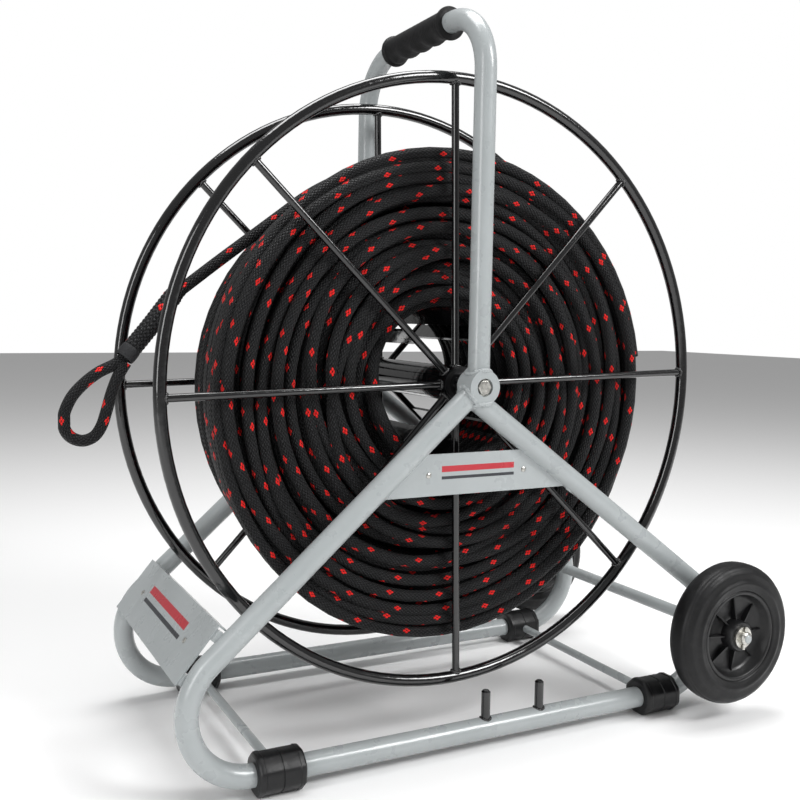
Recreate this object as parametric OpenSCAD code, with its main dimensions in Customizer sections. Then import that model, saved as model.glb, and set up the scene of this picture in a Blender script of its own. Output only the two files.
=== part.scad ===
// Pulling-rope reel on a wheeled tube stand.
// Millimetres. +Z up, -X is the front (loop bends and name plate), the wheels are at +X.
// The drum turns about Y. The origin is on the floor, in the middle of the footprint.

/* [Stand] */
// Outside diameter of the stand tube
tube_d = 28; // [24:1:32]
// Distance from the middle of the stand to the middle of each side tube
side_y = 165; // [150:1:190]
// Gap between the drum's flange rings and the rails' centreline
ring_clear = 44; // [30:1:62]
// Front bend: distance in front of the drum axle
front_bend_x = 302; // [280:1:330]
// Front bend: radius of the tube's centreline
front_bend_r = 80; // [60:1:90]
// Rear bend: distance behind the drum axle
rear_bend_x = 323; // [300:1:340]
// Rear bend: radius of the tube's centreline
rear_bend_r = 90; // [70:1:95]
// How far below the drum axle the rear leg's line passes
rear_leg_drop = 16; // [10:1:20]
// Height of the handle's centreline above the flange rings
handle_over = 72; // [52:1:112]
// Radius of the handle's two bends
handle_bend_r = 80; // [60:1:100]

/* [Hub bosses and axle] */
// Diameter of the boss on each side
boss_d = 44; // [42:1:52]
// How much longer the boss is than the tube is thick
boss_over = 4; // [2:1:10]
// Diameter of the recess that takes the bolt head
recess_d = 23; // [22.5:0.5:26]
// Depth of the recess
recess_depth = 9; // [7:0.5:12]
// Diameter of the fixed axle that the drum turns on
shaft_d = 20; // [16:1:24]
// Diameter of the axle bolts
bolt_d = 12; // [10:1:12]
// Length of bolt thread in the axle
bolt_grip = 28; // [20:1:40]
// Bolt head, across flats
bolt_af = 18; // [16:1:19]
// Thickness of the washer under the bolt head
bolt_washer_t = 2; // [1:0.5:2.5]
// Outside diameter of the spacer between the boss and the drum
spacer_d = 32; // [26:1:40]

/* [Drum] */
// Radius of each flange ring, to the middle of its tube
ring_r = 400; // [390:1:410]
// Diameter of the ring tube
ring_d = 16; // [12:1:18]
// Distance from the middle of the drum to each flange
flange_y = 110; // [100:1:118]
// Diameter of the spokes
spoke_d = 10; // [8:1:12]
// Number of spokes in each flange
spokes = 8; // [6:1:10]
// Turn of the drum about its axle, degrees
drum_turn = 1.5; // [0:0.5:10]
// Diameter of the hub tube
hub_tube_d = 48; // [44:1:56]
// Wall of the hub tube
hub_tube_wall = 6; // [4:0.5:8]
// Hub tube beyond each flange's middle
hub_tube_over = 9; // [7:1:12]
// Flange thickness of the plastic bushes
bush_flange_t = 3; // [2:0.5:4]
// Length of the plastic bushes inside the hub tube
bush_len = 25; // [15:1:40]
// Radius of the core that the rope is wound on
core_r = 103; // [90:1:120]
// Depth of the flat core bars
core_bar_depth = 25; // [15:1:35]
// Thickness of the core bars
core_bar_t = 4; // [3:0.5:6]

/* [Rope] */
// Diameter of the rope
rope_d = 16; // [14:1:16]
// Gap between the flange rings' middle and the wound rope
wound_short = 66; // [60:1:78]
// How much smaller the wound rope's radius is at the right flange
wound_taper = 36; // [20:1:50]
// How far the wound rope sags below the drum axle
wound_sag = 16; // [10:1:18]
// Gap between the wound rope and the spokes
wound_gap = 2; // [1:0.5:6]
// Rounding of the wound rope's outer edges
wound_edge_r = 22; // [15:1:30]
// Across the drum: where the last turn lies
last_turn_y = 20; // [0:1:40]
// How far the last turn stands out of the winding's top, from half sunk
last_turn_proud = 3; // [2:0.5:6]
// Angle at which the rope leaves the drum
leave_angle = 127; // [126:1:128]
// How far round the drum the last turn goes
last_turn_sweep = 335; // [300:1:338]
// Diameter of the spliced part above the eye
splice_d = 24; // [20:1:26]
// Diameter of the binding at the throat of the eye
binding_d = 27; // [26:0.5:30]

/* [Wheels] */
// Wheel diameter
wheel_d = 200; // [180:1:210]
// Width of the tyre
tyre_w = 46; // [40:1:50]
// Gap between each side tube and its wheel
wheel_gap = 25; // [22:1:35]
// Diameter of the wheel axle
axle_d = 18; // [16:1:20]
// Depth of the tyre, from tread to rim
tyre_depth = 36; // [30:1:42]
// Rim wall outside the cavity
rim_wall = 6; // [4:0.5:8]
// Thickness of the rim's web
web_t = 8; // [6:1:12]
// Diameter of the wheel's hub
wheel_hub_d = 42; // [38:1:48]
// Outside diameter of the bush in the wheel
wheel_bush_d = 26; // [24:1:30]
// Ribs on each side of the rim
rim_ribs = 8; // [6:1:10]
// Thickness of the ribs
rim_rib_t = 3; // [2:0.5:4]
// Wheel washer outside diameter
wheel_washer_d = 30; // [26:1:34]
// Wheel washer thickness
wheel_washer_t = 3; // [2:0.5:3.5]
// Split pin diameter
pin_d = 4; // [3:0.5:4]
// Split pin length
pin_len = 32; // [28:1:36]

/* [Feet and cross rods] */
// Size of the foot block across its flats
foot_af = 50; // [44:1:56]
// Length of each foot
foot_len = 60; // [50:1:64]
// Chamfer at the ends of the feet
foot_chamfer = 3; // [1:0.5:5]
// Front feet and cross rod: distance in front of the drum axle
front_foot_x = 271; // [265:1:275]
// Rear feet and cross rod: distance behind the drum axle
rear_foot_x = 312; // [305:1:315]
// Diameter of the two thin cross rods
rod_d = 12; // [10:1:14]

/* [Plates, pegs and grip] */
// Thickness of the sheet-metal plates
sheet_t = 2; // [1.5:0.5:3]
// How far the front plate stops short of the middle of each side tube
front_plate_short = 8; // [5:1:12]
// Front plate height along its slope
front_plate_h = 82; // [70:1:90]
// Part of the front plate that is below the line where it touches the bends
front_plate_below = 28; // [20:1:35]
// Slope of the front plate, degrees from the floor
front_plate_slope = 50.5; // [46:0.5:54]
// Depth of the fold along the front plate's top edge
fold_depth = 10; // [6:1:14]
// Width of the tabs that hold the front plate
tab_w = 14; // [10:1:18]
// How far the plate lies over each tab
tab_over = 8; // [6:1:12]
// Thickness of the tabs, down to the bends
tab_t = 12; // [8:1:14]
// Side plate: its top edge is this far below the drum axle
side_plate_top = 84; // [75:1:90]
// Side plate height
side_plate_h = 53; // [40:1:60]
// Diameter of the upright pegs
peg_d = 12; // [10:1:14]
// Height of the pegs above the rail
peg_len = 37; // [30:1:45]
// First peg: distance behind the drum axle
peg_x = 23; // [10:1:60]
// Distance between the two pegs
peg_pitch = 86; // [60:1:100]
// Rivet head diameter
rivet_d = 7; // [5:0.5:9]
// Side plate rivets: distance inside the middle of each leg
side_rivet_in = 54; // [36:1:100]
// Front plate rivets: distance from the middle
front_rivet_y = 105; // [60:1:130]
// Length of the rubber grip
grip_len = 158; // [130:1:160]
// Diameter of the rubber grip
grip_d = 39; // [36:1:44]
// Diameter of the grip's end beads
grip_bead_d = 45; // [40:1:50]
// Length of each end bead
grip_bead_len = 5; // [3:1:8]

/* [Hidden] */
$fn = 64;
fit = 0.05;                     // radial clearance of a running fit
gap = 0.3;                      // clearance between pieces that move past each other
weld_bite = 1;                  // depth to which a welded bar is let into a tube
bend_lap = 2;                   // how far a straight tube runs into a bend
bend_full = 0.05;               // how much fuller a bend is, all round
big = 1000;                     // longer than any piece, for a cut right through

rail_z = foot_af / 2;
hub_z = rail_z + ring_clear + ring_d / 2 + ring_r;
handle_rise = ring_r + ring_d / 2 + handle_over;
// The wheel axle lies against the inside of the rear bends.
axle_turn = 8.5;                // degrees above the middle of the bend
axle_reach = rear_bend_r - tube_d / 2 - axle_d / 2 + weld_bite;
axle_dx = rear_bend_x + axle_reach * cos(axle_turn);
hub_x = -(axle_dx + wheel_d / 2 - ring_r - ring_d / 2) / 2;
axle_x = hub_x + axle_dx;
axle_z = rail_z + rear_bend_r + axle_reach * sin(axle_turn);
front_c = [hub_x - front_bend_x, rail_z + front_bend_r];
rear_c = [hub_x + rear_bend_x, rail_z + rear_bend_r];

boss_len = tube_d + boss_over;
boss_in = side_y - boss_len / 2;
boss_out = side_y + boss_len / 2;
hub_tube_end = flange_y + hub_tube_over;
hub_bore_d = hub_tube_d - 2 * hub_tube_wall;
wound_half = flange_y - spoke_d / 2 - wound_gap;
wound_r = ring_r - wound_short;
last_turn_r = wound_r - wound_taper * (last_turn_y + wound_half) / (2 * wound_half)
    - wound_sag + last_turn_proud;
wheel_hub_half = tyre_w / 2;
wheel_y = side_y + tube_d / 2 + wheel_gap + wheel_hub_half;
tyre_seat_r = wheel_d / 2 - tyre_depth;
front_plate_w = 2 * (side_y - front_plate_short);
beyond_pin = 5;                 // the wheel axle goes on this far past the split pin
axle_end = wheel_y + wheel_hub_half + gap + wheel_washer_t + pin_d + beyond_pin;
pin_y = wheel_y + wheel_hub_half + gap + wheel_washer_t + pin_d / 2;
rim_cavity_r = tyre_seat_r - rim_wall;

// Leg directions: each is tangent to its bend. Angles are in the XZ plane.
function span(a, b) = norm(b - a);
function heading(a, b) = atan2(b[1] - a[1], b[0] - a[0]);
hub_c = [hub_x, hub_z];
front_leg_a = heading(hub_c, front_c) - asin(front_bend_r / span(hub_c, front_c));
rear_leg_a = heading(hub_c, rear_c)
    + asin((rear_bend_r + rear_leg_drop) / span(hub_c, rear_c));
front_leg_len = sqrt(pow(span(hub_c, front_c), 2) - pow(front_bend_r, 2));
rear_leg_len = sqrt(pow(span(hub_c, rear_c), 2) - pow(rear_bend_r + rear_leg_drop, 2));
rear_leg_from = hub_c + rear_leg_drop * [sin(rear_leg_a), -cos(rear_leg_a)];

// The free end of the rope, from where it leaves the drum to the throat of the eye.
leave_point = [hub_x + last_turn_r * cos(leave_angle), last_turn_y,
               hub_z + last_turn_r * sin(leave_angle)];
lead_route = [
    leave_point, [-240, 20, 702], [-262, 20, 685.5], [-284, 20, 669], [-306, 20, 652.5],
    [-332, 20, 633], [-358, 20, 613], [-379, 19, 597]
];
splice_route = [
    [-379, 19, 597], [-389.5, 18.5, 589], [-404, 17, 571], [-420, 14, 551], [-434, 13, 534],
    [-445, 12, 521]
];
binding_route = [[-445, 12, 521], [-456, 11, 508]];
eye_route = [
    [-452, 12, 511], [-467, 14, 500], [-487, 15, 490], [-505, 16, 476],
    [-520, 16, 459], [-529, 16, 438], [-529, 15, 422], [-521, 14, 410],
    [-507, 13, 405], [-493, 12, 410], [-484, 11, 423], [-478, 10, 442],
    [-472, 9, 464], [-464, 9, 485], [-454, 10, 502]
];

steel_grey = [0.62, 0.65, 0.66];
black_gloss = [0.04, 0.04, 0.045];
black_plastic = [0.07, 0.07, 0.075];
black_rubber = [0.06, 0.06, 0.065];
rope_black = [0.08, 0.08, 0.08];
zinc = [0.75, 0.74, 0.70];

// ---- Helpers -------------------------------------------------------------

// Puts a shape drawn in the XY plane, with Z as its thickness, into the XZ plane.
module upright() { rotate([90, 0, 0]) children(); }

// A bar along Y from y1 to y2, centred on (x, z).
module bar_y(x, z, d, y1, y2) {
    translate([x, y2, z]) upright() cylinder(d = d, h = y2 - y1);
}

// Makes a left piece into the right one as well.
module both_sides() {
    children();
    mirror([0, 1, 0]) children();
}

module at_hub() { translate([hub_x, 0, hub_z]) children(); }

// A smooth tube through the points of a route, with one diameter for each point.
module rope_tube(route, diameters, sides = 12) {
    n = len(route);
    along = [for (i = [0 : n - 1]) route[min(i + 1, n - 1)] - route[max(i - 1, 0)]];
    ring = [for (i = [0 : n - 1])
        let (t = along[i] / norm(along[i]),
             u = [0, 1, 0] - t[1] * t,
             a = u / norm(u),
             b = cross(t, a))
        for (k = [0 : sides - 1])
            route[i] + diameters[i] / 2 * (cos(360 * k / sides) * a + sin(360 * k / sides) * b)];
    first = [for (k = [0 : sides - 1]) k];
    last = [for (k = [sides - 1 : -1 : 0]) (n - 1) * sides + k];
    wall = [for (i = [0 : n - 2], k = [0 : sides - 1])
        let (j = (k + 1) % sides)
        [i * sides + j, i * sides + k, (i + 1) * sides + k, (i + 1) * sides + j]];
    polyhedron(points = ring, faces = concat([first], wall, [last]), convexity = 6);
}

function same(route, d) = [for (p = route) d];

// ---- Stand ---------------------------------------------------------------

// One side of the stand, in the XZ plane: front leg, front bend, rail, rear bend, rear leg.
// The bends are a hair fuller than the straights, which run a little way into them.
module side_loop() {
    d = tube_d;
    translate([hub_x, 0, hub_z]) rotate([0, 90 - front_leg_a, 0])
        cylinder(d = d, h = front_leg_len + bend_lap);
    translate([rear_leg_from[0], 0, rear_leg_from[1]]) rotate([0, 90 - rear_leg_a, 0])
        cylinder(d = d, h = rear_leg_len + bend_lap);
    translate([front_c[0] - bend_lap, 0, rail_z]) rotate([0, 90, 0])
        cylinder(d = d, h = rear_c[0] - front_c[0] + 2 * bend_lap);
    bend(front_c, front_bend_r, front_leg_a - 90, 270);
    bend(rear_c, rear_bend_r, -90, rear_leg_a + 90);
}

// A bend of the stand tube about a centre, from one angle to another.
module bend(c, r, from, to) {
    sweep = ((to - from) % 360 + 360) % 360;
    translate([c[0], 0, c[1]]) rotate([90, 0, 0]) rotate([0, 0, from])
        rotate_extrude(angle = sweep) translate([r, 0]) circle(d = tube_d + 2 * bend_full);
}

module left_loop() { translate([0, -side_y, 0]) side_loop(); }

module wheel_axle_solid() {
    dome = axle_d / 4;
    bar_y(axle_x, axle_z, axle_d, -axle_end + dome, axle_end - dome);
}

module cut_loop() {
    difference() {
        left_loop();
        bar_y(hub_x, hub_z, boss_d, -boss_out - 1, -boss_in + 1);
        wheel_axle_solid();
    }
}

module left_side_tube() { color(steel_grey) cut_loop(); }
module right_side_tube() { color(steel_grey) mirror([0, 1, 0]) cut_loop(); }

// Two uprights and the handle, bent from one tube.
module carry_bow() {
    bend_y = side_y - handle_bend_r;
    bend_z = handle_rise - handle_bend_r;
    color(steel_grey) difference() {
        at_hub() {
            both_sides() {
                translate([0, -side_y, 0]) cylinder(d = tube_d, h = bend_z);
                translate([0, -bend_y, bend_z]) rotate([0, 0, 90]) rotate([90, 0, 0])
                    rotate([0, 0, 90]) rotate_extrude(angle = 90)
                        translate([handle_bend_r, 0]) circle(d = tube_d);
            }
            translate([0, bend_y, handle_rise]) rotate([90, 0, 0])
                cylinder(d = tube_d, h = 2 * bend_y);
        }
        bar_y(hub_x, hub_z, boss_d, -boss_out - 1, boss_out + 1);
        both_sides() left_loop();
    }
}

module hub_boss() {
    color(steel_grey) difference() {
        bar_y(hub_x, hub_z, boss_d, -boss_out, -boss_in);
        bar_y(hub_x, hub_z, recess_d, -boss_out - 1, -boss_out + recess_depth);
        bar_y(hub_x, hub_z, bolt_d, -boss_out, -boss_in + 1);
    }
}
module left_hub_boss() { hub_boss(); }
module right_hub_boss() { mirror([0, 1, 0]) hub_boss(); }

// Rubber sleeve with end beads and four finger hollows underneath.
module handle_grip() {
    z = hub_z + handle_rise;
    bead = grip_bead_len;
    finger = (grip_len - 4 * bead) / 4;     // length of each finger hollow
    hollow_d = finger * 1.45;
    hollow_drop = finger * 0.62;    // from the grip's underside to the hollow's axis
    color(black_rubber) difference() {
        union() {
            bar_y(hub_x, z, grip_d, -grip_len / 2, grip_len / 2);
            both_sides() bar_y(hub_x, z, grip_bead_d, grip_len / 2 - bead, grip_len / 2);
        }
        bar_y(hub_x, z, tube_d, -grip_len, grip_len);
        for (i = [-1.5 : 1 : 1.5])
            translate([hub_x - grip_d, i * finger, z - grip_d / 2 - hollow_drop])
                rotate([0, 90, 0]) cylinder(d = hollow_d, h = 2 * grip_d);
    }
}

// ---- Plates --------------------------------------------------------------

// Where the middle of a leg is, at a drop below the drum axle.
function on_leg(from, a, drop) = from[0] - (from[1] - hub_z + drop) / tan(a);

// The sheet between the two legs, in the middle of the tubes.
module left_side_plate() {
    top = side_plate_top;
    low = side_plate_top + side_plate_h;
    outline = [
        [on_leg(hub_c, front_leg_a, top), hub_z - top],
        [on_leg(hub_c, front_leg_a, low), hub_z - low],
        [on_leg(rear_leg_from, rear_leg_a, low), hub_z - low],
        [on_leg(rear_leg_from, rear_leg_a, top), hub_z - top]
    ];
    color(steel_grey) difference() {
        translate([0, -side_y + sheet_t / 2, 0]) upright()
            linear_extrude(sheet_t) polygon(outline);
        left_loop();
        side_plate_rivet_places() cylinder(d = rivet_d / 2, h = 3 * sheet_t, center = true);
    }
}

// Two rivets, level with the middle of the side plate, each as far inside its leg.
module side_plate_rivet_places() {
    drop = side_plate_top + side_plate_h / 2;
    for (x = [on_leg(hub_c, front_leg_a, drop) + side_rivet_in,
              on_leg(rear_leg_from, rear_leg_a, drop) - side_rivet_in])
        translate([x, -side_y, hub_z - drop]) upright() children();
}

// Dome head in front, shank through the sheet, small head behind.
module rivet() {
    head_h = 2;
    tail_h = 1.5;
    dome_r = rivet_d * 0.8;
    tail_d = rivet_d * 0.8;
    cylinder(d = rivet_d / 2, h = sheet_t, center = true);
    translate([0, 0, sheet_t / 2]) intersection() {
        cylinder(d = rivet_d, h = head_h);
        translate([0, 0, head_h - dome_r]) sphere(r = dome_r);
    }
    translate([0, 0, -sheet_t / 2 - tail_h]) cylinder(d = tail_d, h = tail_h);
}

module side_plate_rivets() { color(zinc) side_plate_rivet_places() rivet(); }

// Local frame of the front plate: X runs up its slope, Z points out to the front,
// and the origin is on the line where its back touches the bends.
module at_front_plate() {
    out = front_plate_slope + 90;
    r = front_bend_r + tube_d / 2;
    translate([front_c[0] + r * cos(out), 0, front_c[1] + r * sin(out)])
        rotate([0, -front_plate_slope, 0]) children();
}

front_plate_above = front_plate_h - front_plate_below;
front_plate_mid = front_plate_h / 2 - front_plate_below;

module front_plate() {
    color(steel_grey) at_front_plate() difference() {
        union() {
            translate([-front_plate_below, -front_plate_w / 2, 0])
                cube([front_plate_h, front_plate_w, sheet_t]);
            translate([front_plate_above - sheet_t, -front_plate_w / 2, -fold_depth])
                cube([sheet_t, front_plate_w, fold_depth + sheet_t]);
        }
        front_plate_rivet_places() cylinder(d = rivet_d / 2, h = 3 * sheet_t, center = true);
    }
}

module front_plate_rivet_places() {
    for (y = [-front_rivet_y, front_rivet_y])
        translate([front_plate_mid, y, sheet_t / 2]) children();
}

module front_plate_rivets() { color(zinc) at_front_plate() front_plate_rivet_places() rivet(); }

// Four tabs behind the ends of the front plate, welded to the bends.
module front_plate_tabs() {
    edge = 3;                       // the tabs stop this far short of the plate's edges
    reach = side_y - edge;
    inner = front_plate_w / 2 - tab_over;
    color(steel_grey) difference() {
        at_front_plate() both_sides()
            for (x = [-front_plate_below + edge, front_plate_above - sheet_t - tab_w - edge])
                translate([x, -reach, -tab_t]) cube([tab_w, reach - inner, tab_t]);
        both_sides() left_loop();
    }
}

// ---- Feet, rods, pegs ------------------------------------------------------

// Moulded block round the rail, eight-sided, with chamfered ends.
module foot(x) {
    r = foot_af / 2 / cos(22.5);
    chamfer = foot_chamfer;
    difference() {
        translate([hub_x + x, -side_y, rail_z]) intersection() {
            rotate([0, 90, 0]) rotate([0, 0, 22.5])
                cylinder(r = r, h = foot_len, center = true, $fn = 8);
            rotate([90, 0, 0]) linear_extrude(2 * foot_af, center = true)
                polygon([for (s = [[-1, -1], [1, -1], [1, 1], [-1, 1]], k = [0, 1])
                    let (first = (s[0] * s[1] > 0) == (k == 0))
                    [s[0] * (foot_len / 2 - (first ? 0 : chamfer)),
                     s[1] * (foot_af / 2 - (first ? chamfer : 0))]]);
        }
        left_loop();
        rods_solid();
    }
}
module left_front_foot() { color(black_plastic) foot(-front_foot_x); }
module left_rear_foot() { color(black_plastic) foot(rear_foot_x); }
module right_front_foot() { color(black_plastic) mirror([0, 1, 0]) foot(-front_foot_x); }
module right_rear_foot() { color(black_plastic) mirror([0, 1, 0]) foot(rear_foot_x); }

module rod(x) { bar_y(hub_x + x, rail_z, rod_d, -side_y, side_y); }
module rods_solid() { rod(-front_foot_x); rod(rear_foot_x); }
module cut_rod(x) { color(steel_grey) difference() { rod(x); both_sides() left_loop(); } }
module front_cross_rod() { cut_rod(-front_foot_x); }
module rear_cross_rod() { cut_rod(rear_foot_x); }

// Two pegs with rounded tips, welded upright on the left rail.
module rail_pegs() {
    tip = 2;
    color(black_gloss) difference() {
        for (i = [0, 1]) translate([hub_x + peg_x + i * peg_pitch, -side_y, rail_z]) {
            cylinder(d = peg_d, h = tube_d / 2 + peg_len - tip);
            translate([0, 0, tube_d / 2 + peg_len - tip])
                cylinder(d1 = peg_d, d2 = peg_d - 2 * tip, h = tip);
        }
        left_loop();
    }
}

// The bar that carries both wheels, with domed ends.
module wheel_axle() {
    dome = axle_d / 4;
    tip_d = axle_d * 0.55;
    color(steel_grey) difference() {
        union() {
            wheel_axle_solid();
            both_sides() translate([axle_x, -axle_end + dome, axle_z]) rotate([90, 0, 0])
                cylinder(d1 = axle_d, d2 = tip_d, h = dome);
        }
        pins_solid();
    }
}

// ---- Drum axle -------------------------------------------------------------

module drum_axle() {
    color(zinc) difference() {
        bar_y(hub_x, hub_z, shaft_d, -boss_in, boss_in);
        both_sides() bar_y(hub_x, hub_z, bolt_d, -boss_in - 1, -boss_in + bolt_grip);
    }
}

seat_y = boss_out - recess_depth;

module axle_bolts() {
    head = boss_out - seat_y - bolt_washer_t;
    color(zinc) both_sides() {
        bar_y(hub_x, hub_z, bolt_d, -seat_y - bolt_washer_t - 1, -boss_in + bolt_grip);
        translate([hub_x, -seat_y - bolt_washer_t, hub_z]) upright()
            cylinder(r = bolt_af / 2 / cos(30), h = head, $fn = 6);
    }
}

module axle_bolt_washers() {
    color(zinc) both_sides() difference() {
        bar_y(hub_x, hub_z, recess_d - 2 * gap, -seat_y - bolt_washer_t, -seat_y);
        bar_y(hub_x, hub_z, bolt_d, -boss_out, 0);
    }
}

module axle_spacers() {
    color(black_gloss) both_sides() difference() {
        bar_y(hub_x, hub_z, spacer_d, -boss_in, -hub_tube_end - bush_flange_t - gap);
        bar_y(hub_x, hub_z, shaft_d, -boss_in - 1, 0);
    }
}

// ---- Wheels ----------------------------------------------------------------

// Solid tyre: crowned tread, a shoulder step and a bead ring on each side wall.
module wheel_tyre() {
    r = wheel_d / 2;
    w = tyre_w / 2;
    color(black_rubber) translate([axle_x, -wheel_y, axle_z]) rotate([90, 0, 0]) rotate_extrude()
        polygon([
            [tyre_seat_r, -w + 3], [tyre_seat_r + 8, -w + 1], [tyre_seat_r + 10, -w],
            [tyre_seat_r + 14, -w + 2], [r - 10, -w + 3], [r - 3, -w + 9], [r, -w + 17],
            [r, w - 17], [r - 3, w - 9], [r - 10, w - 3], [tyre_seat_r + 14, w - 2],
            [tyre_seat_r + 10, w], [tyre_seat_r + 8, w - 1], [tyre_seat_r, w - 3]
        ]);
}

// Moulded rim: barrel, web, hub, and ribs between hub and barrel.
module wheel_rim() {
    barrel = tyre_w / 2 - 3;        // half the width of the tyre's seat
    rib_half = barrel - 6;          // the ribs stop this far inside the barrel
    lap = 1;                        // how far the ribs and the web run into their neighbours
    color(black_plastic) translate([axle_x, -wheel_y, axle_z]) rotate([90, 0, 0]) difference() {
        union() {
            rotate_extrude() polygon([
                [rim_cavity_r, -barrel], [tyre_seat_r, -barrel],
                [tyre_seat_r, barrel], [rim_cavity_r, barrel]
            ]);
            cylinder(r = rim_cavity_r + lap, h = web_t, center = true);
            cylinder(d = wheel_hub_d, h = 2 * wheel_hub_half, center = true);
            for (k = [0 : rim_ribs - 1]) rotate([0, 0, 360 * k / rim_ribs])
                translate([wheel_hub_d / 2 - lap, -rim_rib_t / 2, -rib_half])
                    cube([rim_cavity_r - wheel_hub_d / 2 + 2 * lap, rim_rib_t, 2 * rib_half]);
        }
        cylinder(d = wheel_bush_d, h = big, center = true);
    }
}

module wheel_bush() {
    color(zinc) translate([axle_x, -wheel_y, axle_z]) rotate([90, 0, 0]) difference() {
        cylinder(d = wheel_bush_d, h = 2 * wheel_hub_half, center = true);
        cylinder(d = axle_d + 2 * fit, h = big, center = true);
    }
}
module left_wheel_tyre() { wheel_tyre(); }
module left_wheel_rim() { wheel_rim(); }
module left_wheel_bush() { wheel_bush(); }
module right_wheel_tyre() { mirror([0, 1, 0]) wheel_tyre(); }
module right_wheel_rim() { mirror([0, 1, 0]) wheel_rim(); }
module right_wheel_bush() { mirror([0, 1, 0]) wheel_bush(); }

// A ring on the wheel axle, between two distances from the middle.
module on_wheel_axle(d, y1, y2) {
    both_sides() difference() {
        bar_y(axle_x, axle_z, d, -y2, -y1);
        bar_y(axle_x, axle_z, axle_d, -big, big);
    }
}
module wheel_spacers() {
    color(zinc) on_wheel_axle(wheel_bush_d, side_y + tube_d / 2, wheel_y - wheel_hub_half - gap);
}
module wheel_washers() {
    y = wheel_y + wheel_hub_half + gap;
    color(zinc) on_wheel_axle(wheel_washer_d, y, y + wheel_washer_t);
}

module pins_solid() {
    lean = 8;                       // degrees that the pins lean from upright
    both_sides() translate([axle_x, -pin_y, axle_z]) rotate([0, lean, 0])
        cylinder(d = pin_d, h = pin_len, center = true);
}
module split_pins() { color(zinc) pins_solid(); }

// ---- Drum ------------------------------------------------------------------

module torus() { rotate_extrude() translate([ring_r, 0]) circle(d = ring_d); }

module flange_ring() {
    color(black_gloss) at_hub() translate([0, -flange_y, 0]) rotate([90, 0, 0]) torus();
}
module left_flange_ring() { flange_ring(); }
module right_flange_ring() { mirror([0, 1, 0]) flange_ring(); }

module each_spoke() {
    for (k = [0 : spokes - 1]) rotate([0, -drum_turn - 360 * k / spokes, 0]) children();
}

module spokes_solid() {
    each_spoke() rotate([0, 90, 0]) cylinder(d = spoke_d, h = ring_r);
}

// Spokes, coped to the hub tube and to the ring.
module flange_spokes(side) {
    color(black_gloss) at_hub() translate([0, side * flange_y, 0]) difference() {
        spokes_solid();
        rotate([90, 0, 0]) torus();
        rotate([90, 0, 0]) cylinder(d = hub_tube_d, h = 2 * hub_tube_end, center = true);
    }
}
module left_flange_spokes() { flange_spokes(-1); }
module right_flange_spokes() { flange_spokes(1); }

module drum_hub_tube() {
    color(black_gloss) difference() {
        bar_y(hub_x, hub_z, hub_tube_d, -hub_tube_end, hub_tube_end);
        bar_y(hub_x, hub_z, hub_bore_d, -big, big);
    }
}

// Flanged plastic bushes pressed into the ends of the hub tube.
module drum_bushes() {
    color(black_plastic) both_sides() difference() {
        union() {
            bar_y(hub_x, hub_z, hub_bore_d, -hub_tube_end - 1, -hub_tube_end + bush_len);
            bar_y(hub_x, hub_z, hub_tube_d - 4, -hub_tube_end - bush_flange_t, -hub_tube_end);
        }
        bar_y(hub_x, hub_z, shaft_d + 2 * fit, -big, 0);
    }
}

// Flat bars on edge between the two flanges; the rope is wound on them.
module core_bars() {
    color(black_gloss) at_hub() difference() {
        intersection() {
            each_spoke() translate([core_r - core_bar_depth, -flange_y, -core_bar_t / 2])
                cube([core_bar_depth + 1, 2 * flange_y, core_bar_t]);
            rotate([90, 0, 0]) cylinder(r = core_r, h = 3 * flange_y, center = true);
        }
        both_sides() translate([0, -flange_y, 0]) spokes_solid();
    }
}

// ---- Rope ------------------------------------------------------------------

// All the wound turns as one body, piled higher at the left flange. Its weight makes it sag
// round the core, which stays in the middle, and so does the groove for the last turn.
module rope_winding() {
    e = wound_edge_r;
    left = [for (a = [90 : -15 : 0])
        [wound_r - e + e * cos(a), wound_half - e + e * sin(a)]];
    right = [for (a = [0 : -15 : -90])
        [wound_r - wound_taper - e + e * cos(a), e - wound_half + e * sin(a)]];
    profile = concat([[0, wound_half]], left, right, [[0, -wound_half]]);
    half = rope_d / 2 + gap;
    color(rope_black) at_hub() rotate([90, 0, 0]) difference() {
        translate([0, -wound_sag, 0]) rotate_extrude() polygon(profile);
        cylinder(r = core_r, h = 3 * wound_half, center = true);
        rotate_extrude() translate([last_turn_r - half, -last_turn_y - half])
            square([2 * wound_sag + 2 * rope_d, 2 * half]);
    }
}

module rope_last_turn() {
    color(rope_black) at_hub() translate([0, last_turn_y, 0]) rotate([90, 0, 0])
        rotate([0, 0, leave_angle - last_turn_sweep]) rotate_extrude(angle = last_turn_sweep)
            translate([last_turn_r, 0]) circle(d = rope_d);
}

module rope_lead() { color(rope_black) rope_tube(lead_route, same(lead_route, rope_d)); }
module rope_splice() {
    n = len(splice_route);
    color(rope_black) rope_tube(splice_route,
        [for (i = [0 : n - 1]) i == 0 ? rope_d : splice_d]);
}
module rope_binding() { color(rope_black) rope_tube(binding_route, same(binding_route, binding_d)); }
module rope_eye() {
    color(rope_black) difference() {
        rope_tube(eye_route, same(eye_route, rope_d), 10);
        rope_tube(binding_route, same(binding_route, binding_d));
    }
}

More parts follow.
